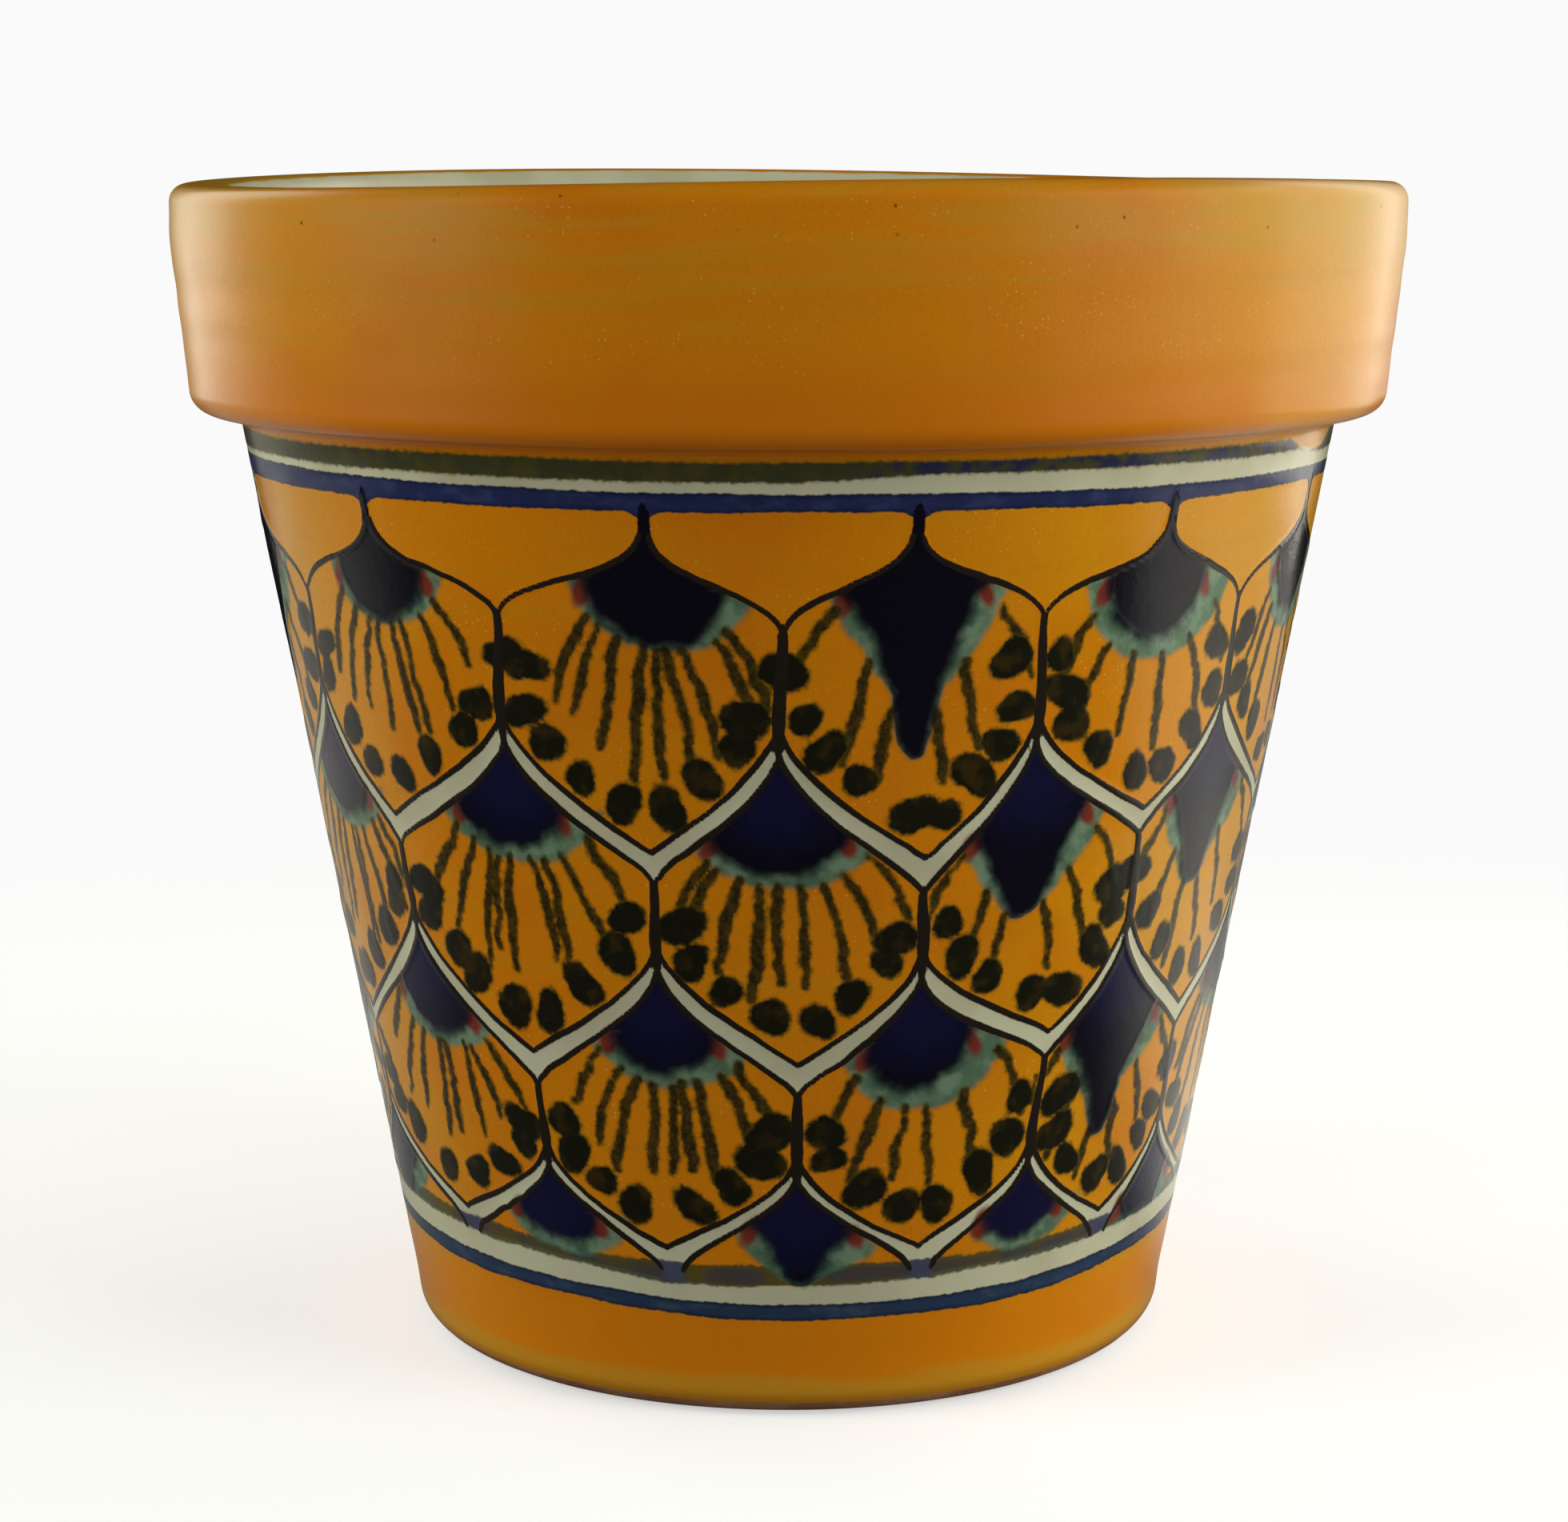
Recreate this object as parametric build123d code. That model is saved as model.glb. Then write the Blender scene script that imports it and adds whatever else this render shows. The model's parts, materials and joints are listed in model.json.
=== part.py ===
"""Rimmed talavera flowerpot, in millimetres, +Z up, origin on the floor under the pot's axis.

Every piece is a ring about the pot's axis. The thrown clay is a base slab, a tapered wall that stands on it
and a collar luted round the wall's top. Coats of glaze cover the clay: the inside, the rim, the painted field
and each painted band are a ring of their own, and they meet edge to edge.
"""
from build123d import *
import os

# Driving dimensions (mm)
RIM_RADIUS = 127.0          # widest point of the rim band: a 10 inch pot
HEIGHT = 241.0              # floor to the crest of the lip
BASE_RADIUS = 78.1          # the outer cone carried down to the floor
TAPER = 0.185               # radius gained per mm of height, inside and out
WALL_THICKNESS = 9.0        # clay and both glazes, measured level
FLOOR_THICKNESS = 10.0      # clay and inside glaze
DRAIN_RADIUS = 11.0         # hole through the base slab
COAT = 0.7                  # thickness of every coat of glaze

RIM_BOTTOM = 191.8          # underside of the rim band
RIM_WIDEST = 229.0          # height of the widest point of the rim band
RIM_LEAN = 0.1              # radius lost per mm going down the rim's face
RIM_TOP_ROUND = 4.0         # outer corner of the lip
RIM_LOWER_ROUND = 5.0       # lower corner of the rim band
LIP_ROUND = 4.5             # inner corner of the lip
UNDER_RIM_FILLET = 2.5      # glaze pooled where the rim meets the wall
FOOT_ROUND = 7.0            # outer corner of the foot
INNER_FLOOR_FILLET = 8.0    # inside, where the wall meets the floor

FOOT_RING_WIDTH = 12.0      # flat ring that the pot stands on
RECESS_DEPTH = 2.0          # hollow under the base, inside the foot ring
UNGLAZED_HEIGHT = 3.0       # the foot is wiped clean of glaze up to here

# Heights of the painted bands' edges, from the foot up
FOOT_GLAZE_TOP = 22.3
LOWER_COBALT_TOP = 25.6
LOWER_WHITE_TOP = 30.2
LOWER_WASH_TOP = 34.0
FIELD_TOP = 180.2
UPPER_COBALT_TOP = 184.0
UPPER_WHITE_TOP = 186.4
UPPER_DARK_TOP = 189.3

BEYOND = 20.0               # how far the cutting outlines reach outside the pot


def outer_radius(z):
    """Radius of the pot's outside below the rim, at height z."""
    return BASE_RADIUS + TAPER * z


def inner_radius(z):
    """Radius of the pot's inside at height z."""
    return outer_radius(z) - WALL_THICKNESS


def half_section(points):
    """Flat face in the XZ plane from (radius, height) points."""
    return make_face(Plane.XZ * Polyline(points, close=True))


def round_corner(face, radius, height, size):
    """Round the corner of a half section that lies nearest to (radius, height)."""
    corner = face.vertices().sort_by_distance((radius, 0, height))[0]
    return fillet(corner, size)


def turn(face):
    """Solid of revolution about the pot's axis."""
    return revolve(face, Axis.Z)


def whole_section():
    """Half section of the finished pot, clay and glaze together."""
    foot_edge = outer_radius(0)
    ring_inside = foot_edge - FOOT_ROUND - FOOT_RING_WIDTH
    rim_low = RIM_RADIUS - RIM_LEAN * (RIM_WIDEST - RIM_BOTTOM)
    under_rim = outer_radius(RIM_BOTTOM)
    lip_inside = inner_radius(HEIGHT)
    floor_edge = inner_radius(FLOOR_THICKNESS)
    face = half_section([
        (DRAIN_RADIUS, RECESS_DEPTH),
        (ring_inside, RECESS_DEPTH),
        (ring_inside, 0),
        (foot_edge, 0),
        (under_rim, RIM_BOTTOM),
        (rim_low, RIM_BOTTOM),
        (RIM_RADIUS, RIM_WIDEST),
        (RIM_RADIUS, HEIGHT),
        (lip_inside, HEIGHT),
        (floor_edge, FLOOR_THICKNESS),
        (DRAIN_RADIUS, FLOOR_THICKNESS),
    ])
    face = round_corner(face, foot_edge, 0, FOOT_ROUND)
    face = round_corner(face, under_rim, RIM_BOTTOM, UNDER_RIM_FILLET)
    face = round_corner(face, rim_low, RIM_BOTTOM, RIM_LOWER_ROUND)
    face = round_corner(face, RIM_RADIUS, HEIGHT, RIM_TOP_ROUND)
    face = round_corner(face, lip_inside, HEIGHT, LIP_ROUND)
    return round_corner(face, floor_edge, FLOOR_THICKNESS, INNER_FLOOR_FILLET)


def level_zone(low, high, inside=0.0):
    """Everything outside a radius, from one height to another."""
    far = RIM_RADIUS + BEYOND
    return half_section([(inside, low), (far, low), (far, high), (inside, high)])


def cone_zone(radius_at, low, high):
    """Everything inside a cone whose radius is a function of the height."""
    return half_section([(0, low), (radius_at(low), low), (radius_at(high), high), (0, high)])


def clay_section(whole):
    """Half section of the clay: the pot less its glaze, but bare at the foot and round the drain hole."""
    bare_foot = level_zone(-BEYOND, UNGLAZED_HEIGHT)
    bare_drain = cone_zone(lambda z: DRAIN_RADIUS + COAT, 0, FLOOR_THICKNESS - COAT)
    return offset(whole, amount=-COAT) + (whole & bare_foot) + (whole & bare_drain)


def clay_parts(clay):
    """The thrown pieces: base slab, wall and rim collar."""
    def wall_outside(z):
        return outer_radius(z) - COAT

    top = HEIGHT + BEYOND
    within_wall = cone_zone(wall_outside, FLOOR_THICKNESS - COAT, top)
    above_base = level_zone(FLOOR_THICKNESS - COAT, top)
    return {
        "base_slab": clay & level_zone(-BEYOND, FLOOR_THICKNESS - COAT),
        "wall": clay & within_wall,
        "rim_collar": (clay & above_base) - within_wall,
    }


def glaze_parts(whole, clay):
    """The coats of glaze, cut apart inside the lip and at the edges of the painted bands."""
    def mid_wall(z):
        return inner_radius(z) + LIP_ROUND / 2

    coats = whole - clay
    inside = coats & cone_zone(mid_wall, FLOOR_THICKNESS - 2 * COAT, HEIGHT + BEYOND)
    outside = coats - inside
    edges = [
        ("foot_glaze", UNGLAZED_HEIGHT, FOOT_GLAZE_TOP),
        ("lower_cobalt_band", FOOT_GLAZE_TOP, LOWER_COBALT_TOP),
        ("lower_white_stripe", LOWER_COBALT_TOP, LOWER_WHITE_TOP),
        ("lower_blue_wash", LOWER_WHITE_TOP, LOWER_WASH_TOP),
        ("painted_field", LOWER_WASH_TOP, FIELD_TOP),
        ("upper_cobalt_band", FIELD_TOP, UPPER_COBALT_TOP),
        ("upper_white_stripe", UPPER_COBALT_TOP, UPPER_WHITE_TOP),
        ("upper_dark_band", UPPER_WHITE_TOP, UPPER_DARK_TOP),
        ("rim_glaze", UPPER_DARK_TOP, HEIGHT + BEYOND),
    ]
    parts = {name: outside & level_zone(low, high) for name, low, high in edges}
    parts["inside_glaze"] = inside
    return parts


def main():
    """Write one STEP file for each piece."""
    os.makedirs("parts", exist_ok=True)
    whole = whole_section()
    clay = clay_section(whole)
    sections = {**clay_parts(clay), **glaze_parts(whole, clay)}
    for name, section in sections.items():
        export_step(turn(section), f"parts/{name}.step")


main()
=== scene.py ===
"""Looks of the talavera flowerpot: one glazed skin over the clay, hand painted with a pattern of scales.

The skin is one grid of points, round the pot and along its half section, from the drain hole up the inside,
over the lip and down the outside to the foot. It is worked out in millimetres, painted, and cut into tiles.
Angles are in degrees from the front (-Y), positive towards +X.
"""
import json
import math

import bpy
import numpy as np
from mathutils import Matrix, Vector


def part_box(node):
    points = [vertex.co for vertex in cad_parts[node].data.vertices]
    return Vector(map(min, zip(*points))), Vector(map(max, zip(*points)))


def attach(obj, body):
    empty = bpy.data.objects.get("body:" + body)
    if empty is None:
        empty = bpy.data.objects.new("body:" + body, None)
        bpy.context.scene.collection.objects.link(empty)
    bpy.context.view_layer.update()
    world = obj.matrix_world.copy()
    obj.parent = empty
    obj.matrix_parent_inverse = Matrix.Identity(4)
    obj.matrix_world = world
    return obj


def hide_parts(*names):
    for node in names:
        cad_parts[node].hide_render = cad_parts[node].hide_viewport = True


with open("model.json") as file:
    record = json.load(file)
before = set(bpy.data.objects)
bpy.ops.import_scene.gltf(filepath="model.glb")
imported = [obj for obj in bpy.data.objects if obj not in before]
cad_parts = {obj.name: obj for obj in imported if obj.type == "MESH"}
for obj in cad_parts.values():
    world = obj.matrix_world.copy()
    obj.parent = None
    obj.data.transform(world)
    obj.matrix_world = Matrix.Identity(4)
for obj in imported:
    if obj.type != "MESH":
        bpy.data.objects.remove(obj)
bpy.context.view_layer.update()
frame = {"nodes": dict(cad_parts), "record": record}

MM = 0.001
rng = np.random.default_rng(11)

# ---------------------------------------------------------------- sizes, in mm, from the frame


def node_top(name):
    """Height and radius of a CAD ring's upper edge."""
    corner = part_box(name)[1]
    return corner.z / MM, corner.x / MM


def mount_height(name):
    """Height of one of the record's mounts."""
    return next(m["pos_m"][2] for m in frame["record"]["mounts"] if m["name"] == name) / MM


HEIGHT, RIM_RADIUS = node_top("rim_glaze")
RIM_BOTTOM = mount_height("under_rim")
FOOT_TOP, _ = node_top("foot_glaze")
LOWER_COBALT_TOP, _ = node_top("lower_cobalt_band")
LOWER_WHITE_TOP, lower_radius = node_top("lower_white_stripe")
WASH_TOP, _ = node_top("lower_blue_wash")
FIELD_TOP, _ = node_top("painted_field")
UPPER_COBALT_TOP, upper_radius = node_top("upper_cobalt_band")
UPPER_WHITE_TOP, _ = node_top("upper_white_stripe")
UPPER_DARK_TOP, _ = node_top("upper_dark_band")
GLAZE_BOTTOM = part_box("foot_glaze")[0].z / MM
SLAB_TOP, _ = node_top("base_slab")
DRAIN_RADIUS = next(m["dims"]["r_mm"] for m in frame["record"]["mounts"] if m["name"] == "drain_hole")

TAPER = (upper_radius - lower_radius) / (UPPER_COBALT_TOP - LOWER_WHITE_TOP)
BASE_RADIUS = upper_radius - TAPER * UPPER_COBALT_TOP
SLANT = math.hypot(1, TAPER)            # length along the wall per mm of height
COAT = 0.7                              # the CAD coats' thickness
WALL = 9.0
FLOOR = SLAB_TOP + COAT
RIM_WIDEST = HEIGHT - 12.0
RIM_LEAN = 0.1                          # radius lost per mm going down the rim band
INNER_FLOOR_ROUND = 8.0                 # roundings of the half section's corners, from the inside floor on
LIP_INNER_ROUND = 4.5
LIP_OUTER_ROUND = 4.0
RIM_SWELL_ROUND = 60.0
RIM_LOWER_ROUND = 5.0
UNDER_RIM_ROUND = 2.5
FOOT_ROUND = 7.0
FOOT_RING_WIDTH = 12.0
SECTION_STEP = 0.1                      # between points of the half section
GLAZE_THICKNESS = 0.45                  # thickness of the visual tiles
CLAY_DEPTH = 0.9                        # the clay lies this far under the CAD's outer surface


def outer_radius(z):
    """Radius of the outside below the rim."""
    return BASE_RADIUS + TAPER * z


def inner_radius(z):
    """Radius of the inside."""
    return outer_radius(z) - WALL


def mm_across(degrees, z):
    """An angle as mm round the outside at a height."""
    return np.radians(degrees) * outer_radius(z)


def degrees_across(mm, z):
    """So many mm round the outside at a height, as an angle."""
    return np.degrees(mm / outer_radius(z))


# ---------------------------------------------------------------- half section


def rounded_path(corners):
    """Points along a path of (radius, height, rounding) corners, each corner turned into a tangent arc."""
    path = [np.array(corners[0][:2])]
    for before, here, after in zip(corners, corners[1:], corners[2:]):
        corner = np.array(here[:2])
        to_before = np.array(before[:2]) - corner
        to_after = np.array(after[:2]) - corner
        to_before /= np.linalg.norm(to_before)
        to_after /= np.linalg.norm(to_after)
        half = 0.5 * math.acos(np.clip(to_before @ to_after, -1, 1))
        reach = here[2] / math.tan(half)
        bisector = (to_before + to_after) / np.linalg.norm(to_before + to_after)
        centre = corner + bisector * here[2] / math.sin(half)
        start = corner + to_before * reach - centre
        turn = math.pi - 2 * half
        side = np.sign(to_before[0] * to_after[1] - to_before[1] * to_after[0])
        count = max(3, int(here[2] * turn / SECTION_STEP))
        for angle in np.linspace(0, -side * turn, count):
            cos, sin = math.cos(angle), math.sin(angle)
            path.append(centre + np.array([cos * start[0] - sin * start[1], sin * start[0] + cos * start[1]]))
    path.append(np.array(corners[-1][:2]))
    return np.array(path)


def lengths_along(path):
    """Length along a path at each of its points."""
    return np.r_[0, np.cumsum(np.linalg.norm(np.diff(path, axis=0), axis=1))]


def points_at(wanted, lengths, path):
    """Points of a path at wanted lengths along it."""
    return np.stack([np.interp(wanted, lengths, path[:, k]) for k in (0, 1)], axis=-1)


def even_points(path):
    """The same path with evenly spaced points, and the length along it at each."""
    lengths = lengths_along(path)
    spaced = np.linspace(0, lengths[-1], int(lengths[-1] / SECTION_STEP) + 1)
    return points_at(spaced, lengths, path), spaced


rim_low = RIM_RADIUS - RIM_LEAN * (RIM_WIDEST - RIM_BOTTOM)
SECTION, ALONG = even_points(rounded_path([
    (DRAIN_RADIUS, FLOOR, 0),
    (inner_radius(FLOOR), FLOOR, INNER_FLOOR_ROUND),
    (inner_radius(HEIGHT), HEIGHT, LIP_INNER_ROUND),
    (RIM_RADIUS, HEIGHT, LIP_OUTER_ROUND),
    (RIM_RADIUS, RIM_WIDEST, RIM_SWELL_ROUND),
    (rim_low, RIM_BOTTOM, RIM_LOWER_ROUND),
    (outer_radius(RIM_BOTTOM), RIM_BOTTOM, UNDER_RIM_ROUND),
    (outer_radius(0), 0, FOOT_ROUND),
    (outer_radius(0) - FOOT_RING_WIDTH, 0, 0),
]))
CREST = int(np.argmax(SECTION[:, 1]))


def inside_at(z):
    """Length along the section where the inside reaches a height."""
    return float(np.interp(z, SECTION[:CREST, 1], ALONG[:CREST]))


def outside_at(z):
    """Length along the section where the outside comes down to a height."""
    return float(np.interp(-z, -SECTION[CREST:, 1], ALONG[CREST:]))


# ---------------------------------------------------------------- the skin's grid

COLUMNS = 1024
ROW_STEP, COLUMN_STEP = 2, 8            # a tile's back keeps one grid point in so many, along and round
LIP_JOINT = inside_at(HEIGHT - 0.6)     # the cream inside glaze meets the rim's glaze here
FIELD_START = outside_at(UPPER_DARK_TOP + 1.2)
INSIDE_CUT = inside_at(110.0)
FIELD_CUTS = outside_at(127.5), outside_at(65.5)

# name, where it starts and ends along the section, points along it, sectors round the pot
BANDS = [
    ("inside_low", 0.0, INSIDE_CUT, 96, 8),
    ("inside_high", INSIDE_CUT, LIP_JOINT, 56, 8),
    ("rim", LIP_JOINT, FIELD_START, 112, 16),
    ("field_high", FIELD_START, FIELD_CUTS[0], 88, 16),
    ("field_middle", *FIELD_CUTS, 88, 16),
    ("field_low", FIELD_CUTS[1], outside_at(GLAZE_BOTTOM), 88, 16),
]

row_lengths = np.concatenate(
    [np.linspace(low, high, count, endpoint=False) for _, low, high, count, _ in BANDS] + [[BANDS[-1][2]]])
ROWS = len(row_lengths)
row_radius = np.interp(row_lengths, ALONG, SECTION[:, 0])
row_height = np.interp(row_lengths, ALONG, SECTION[:, 1])
column_angle = np.linspace(-180, 180, COLUMNS, endpoint=False)
FIRST_FIELD_ROW = sum(count for name, _, _, count, _ in BANDS if not name.startswith("field"))

tangent = np.stack([np.gradient(row_radius), np.gradient(row_height)], axis=1)
tangent /= np.linalg.norm(tangent, axis=1, keepdims=True)
row_normal = np.stack([-tangent[:, 1], tangent[:, 0]], axis=1)     # points out of the clay


def smooth(value, start, end):
    """Smooth step from 0 at start to 1 at end."""
    t = np.clip((value - start) / (end - start), 0, 1)
    return t * t * (3 - 2 * t)


def ripples(seed, rounds, waves, count, along=row_lengths):
    """Smooth seeded variation, about -1 to 1: up to rounds waves round the pot, waves mm apart along it."""
    draw = np.random.default_rng(seed)
    total = np.zeros((len(along), COLUMNS))
    angle = np.radians(column_angle)[None, :]
    for _ in range(count):
        around = draw.integers(-rounds, rounds + 1)
        wave = 2 * math.pi / draw.uniform(waves[0], waves[1])
        total += np.cos(around * angle + wave * along[:, None] + draw.uniform(0, 2 * math.pi))
    return total / math.sqrt(count) / 1.5


# ---------------------------------------------------------------- the painter's pattern
# Posts are the short upright lines that two neighbouring scales share. Each row of posts hangs from the tips
# of the scales above, and each next row of scales grows from the foot of a post. Columns run round the pot.

SCALES_ROUND = 12
VISIBLE = 5                             # columns whose places are given one by one; the rest are spread evenly


ANGLE_JITTER = 1.2                      # degrees


def round_angles(chosen):
    """Angles all round the pot: the chosen ones, then others carried on evenly with a little jitter."""
    left = SCALES_ROUND - len(chosen)
    gap = (360 - (chosen[-1] - chosen[0])) / (left + 1)
    rest = [chosen[-1] + gap * (k + 1) + rng.uniform(-ANGLE_JITTER, ANGLE_JITTER) for k in range(left)]
    return list(chosen) + rest


def round_values(chosen, jitter=1.0):
    """Heights or leans all round the pot: the chosen ones, then others near their mean."""
    mean = sum(chosen) / len(chosen)
    return list(chosen) + [mean + rng.uniform(-jitter, jitter) for _ in range(SCALES_ROUND - len(chosen))]


def middles(angles):
    """Angles half way between neighbours, going round the pot."""
    return [(left + right) / 2 for left, right in zip(angles, angles[1:] + [angles[0] + 360])]


BAND_SAG = 3.7                          # mm, from the sides to the front and back
SAG_TURN = 3                            # degrees: the lowest place, to the right of the front
SAG_BELOW = 0.36                        # share of the sag that lies below the CAD's level edge


def band_rise(angle):
    """How far the lower bands rise above level at an angle, in mm: they dip at the front and back."""
    return BAND_SAG * (np.sin(np.radians(angle - SAG_TURN)) ** 2 - SAG_BELOW)


# Rows of posts: angle, height of the top, height where the foot splits in two, and how far the foot leans
POSTS = [
    [round_angles((-61.3, -30.0, -0.5, 26.0, 54.0)), round_values((159, 159.4, 157.8, 159.8, 159)),
     round_values((143, 141.5, 141, 142, 143)), round_values((-1.1, -1.1, -0.5, 0.6, 0.7), 0.8)],
    [round_angles((-50.1, -14.8, 14.9, 42.8, 73.0)), round_values((110.8, 109.3, 107.4, 114.2, 112.5)),
     round_values((100, 98, 97, 100.5, 99)), round_values((0.3, -0.2, 0.4, 0.5, 0), 0.4)],
    [round_angles((-69.0, -32.4, 1.1, 32.8, 58.2)), round_values((67.0, 66.2, 67.2, 71.2, 70.6)),
     round_values((57, 55.5, 56, 56, 55.5)), round_values((-0.5, 0.2, 0, -0.5, 0.8), 0.4)],
]
TIPS = [
    [POSTS[1][0], round_values((117, 115.5, 114.5, 119.9, 117))],
    [POSTS[2][0], round_values((71.5, 73.1, 73.9, 77.0, 76.0))],
    [[-49.2, -16.0, 17.3, 47.0, 74.0]
     + [middle + rng.uniform(-1, 1) for middle in middles(POSTS[2][0])[VISIBLE:]],
     round_values((35.8, 35.3, 35.3, 35.8, 36), 0.4)],
]
STEMS = [-46.1, -13.6, 12.3, 40.4, 68.8] + middles(POSTS[0][0])[VISIBLE:]
STEM_FOOT = 175.0
APEX_DROP = 5.2                         # from a post's split foot down to the apex of the scale below it
HOOK_HEIGHT = 30.8
HOOK_GAP = 1.5                          # degrees from a tip to the ends of the outlines beside it

# How each scale's cobalt heart is finished: a fan, a round bowl with a teal ring, or a drip
STYLES = [
    ["fan", "fan", "drip", "round", "round"],
    ["fan", "fan", "fan", "drip", "drip"],
    ["fan", "fan", "round", "drip", "fan"],
    ["drip", "fan", "drip", "fan", "drip"],
]
UNSEEN_STYLES = ["fan", "fan", "fan", "round", "drip", "drip", "fan"]
STYLES = [row + list(rng.permutation(UNSEEN_STYLES)) for row in STYLES]


def bezier(a, b, c, d, count=20):
    """Points on a cubic curve, each an (angle, height) pair."""
    t = np.linspace(0, 1, count)[:, None]
    a, b, c, d = (np.array(p, float) for p in (a, b, c, d))
    return (1 - t) ** 3 * a + 3 * (1 - t) ** 2 * t * b + 3 * (1 - t) * t ** 2 * c + t ** 3 * d


def wrapped(angle, near):
    """The same direction, written within half a turn of another angle."""
    return near + (angle - near + 180) % 360 - 180


class Scale:
    """One painted scale: its corners, its outlines and its heart, all as (angle, height) points."""

    def __init__(self, row, column):
        self.row, self.column = row, column
        self.style = STYLES[row][column]
        left = column - 1 if row % 2 else column
        right = (left + 1) % SCALES_ROUND
        left %= SCALES_ROUND
        if row == 0:
            self.apex = np.array([STEMS[column], STEM_FOOT])
        else:
            angle, _, bottom, lean = (values[column] for values in POSTS[row - 1])
            self.apex = np.array([angle + lean, bottom - APEX_DROP])
        self.sides = []
        for sign, index in ((-1, left), (1, right)):
            if row < 3:
                angle, top, bottom, lean = (values[index] for values in POSTS[row])
                angle = wrapped(angle, self.apex[0])
                self.sides.append((sign, np.array([angle, top]), np.array([angle + lean, bottom])))
            else:
                angle = wrapped(TIPS[2][0][index], self.apex[0])
                height = max(HOOK_HEIGHT, LOWER_WHITE_TOP + band_rise(angle))
                hook = np.array([angle + 0.5 - sign * HOOK_GAP, height])
                self.sides.append((sign, hook, None))
        if row < 3:
            angle, height = (values[column] for values in TIPS[row])
            self.tip = np.array([wrapped(angle, self.apex[0]), height])
        self.lift = rng.uniform(-0.9, 0.9, 4)

    def shoulder(self, side):
        """Upper outline from the apex out to the top of a side post."""
        sign, top, _ = side
        apex, lift = self.apex, self.lift[sign]
        if self.row == 0:
            return bezier(apex + (0.5 * sign, 1), apex + (0.9 * sign, -8), top + (-1.5 * sign, 8.5), top)
        if self.row == 3:
            return bezier(apex, apex + (1.5 * sign, -8), top + (-0.9 * sign, 4.5), top)
        return bezier(apex, apex + (1.0 * sign, -11.2), top + (-0.8 * sign, 4.5 + lift), top)

    def flank(self, side):
        """Lower outline from the foot of a side post in to the tip."""
        sign, _, bottom = side
        bend = self.tip + (3.0 * sign, 3.2 + 0.7 * self.lift[sign + 1])
        return bezier(bottom, bottom - (0.5 * sign, 10.0), bend, self.tip)

    def outline(self):
        """The whole outline as one closed loop."""
        left, right = self.sides
        parts = [self.shoulder(right)]
        if self.row < 3:
            parts += [right[2][None], self.flank(right), self.flank(left)[::-1], left[2][None]]
        else:
            parts.append(np.array([right[1], left[1]]) - (0, HOOK_HEIGHT - LOWER_COBALT_TOP))
        parts.append(self.shoulder(left)[::-1])
        return np.concatenate(parts)


SCALES = [Scale(row, column) for row in range(4) for column in range(SCALES_ROUND)]

# ---------------------------------------------------------------- painting distances on the grid

FAR = 50.0
field_rows = slice(FIRST_FIELD_ROW, ROWS)
field_height = row_height[field_rows]


def to_mm(points, centre):
    """(angle, height) points as mm across and up the wall, from a centre angle."""
    points = np.asarray(points, float)
    return np.stack([mm_across(points[:, 0] - centre, points[:, 1]), points[:, 1] * SLANT], axis=1)


class Canvas:
    """Signed distances in mm for one kind of paint, all over the painted field: negative is painted."""

    def __init__(self):
        self.values = np.full((len(field_height), COLUMNS), FAR)

    def window(self, points, reach):
        """Rows, columns and mm coordinates of the grid points within reach of some (angle, height) points."""
        low, high = points[:, 1].min() - reach, points[:, 1].max() + reach
        rows = np.flatnonzero((field_height >= low) & (field_height <= high))
        centre = (points[:, 0].min() + points[:, 0].max()) / 2
        margin = degrees_across(reach, max(low, 0))
        half = (points[:, 0].max() - points[:, 0].min()) / 2 + margin
        first = math.ceil((centre - half + 180) / 360 * COLUMNS)
        last = math.floor((centre + half + 180) / 360 * COLUMNS)
        columns = np.arange(first, last + 1)
        angles = columns * 360 / COLUMNS - 180
        height = field_height[rows][:, None] + np.zeros(len(columns))
        across = mm_across(angles[None, :] - centre, height)
        return rows, columns % COLUMNS, np.stack([across, height * SLANT], axis=-1), centre

    def lay(self, rows, columns, distance):
        """Keep the nearer of what is there and a new distance."""
        block = np.ix_(rows, columns)
        self.values[block] = np.minimum(self.values[block], distance)

    def stroke(self, points, half_widths, reach=6.0):
        """A brush stroke along points, with a half width at each."""
        rows, columns, grid, centre = self.window(points, reach)
        if not len(rows):
            return
        line = to_mm(points, centre)
        widths = np.broadcast_to(half_widths, len(line))
        self.lay(rows, columns, path_distance(grid, line, widths))

    def blob(self, point, lengthways, sideways, tilt, reach=6.0, uneven=0.0):
        """An oval dab, tilted in degrees from level, its edge uneven by a share of its size."""
        rows, columns, grid, centre = self.window(np.array([point, point], float), reach + lengthways)
        if not len(rows):
            return
        offset = grid - to_mm([point], centre)[0]
        cos, sin = math.cos(math.radians(tilt)), math.sin(math.radians(tilt))
        along = offset[..., 0] * cos + offset[..., 1] * sin
        across = offset[..., 1] * cos - offset[..., 0] * sin
        turn = np.arctan2(across, along)
        lobes = 1 + uneven * np.sin(2 * turn + tilt) + 0.6 * uneven * np.sin(3 * turn - 2 * tilt)
        scaled = np.hypot(along / lengthways, across / sideways) / lobes
        self.lay(rows, columns, (scaled - 1) * sideways)

    def patch(self, loop, reach=8.0):
        """A filled patch inside a closed loop."""
        rows, columns, grid, centre = self.window(loop, reach)
        if not len(rows):
            return
        line = to_mm(np.vstack([loop, loop[:1]]), centre)
        distance = path_distance(grid, line, np.zeros(len(line)))
        self.lay(rows, columns, np.where(inside_loop(grid, line), -distance, distance))


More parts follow.
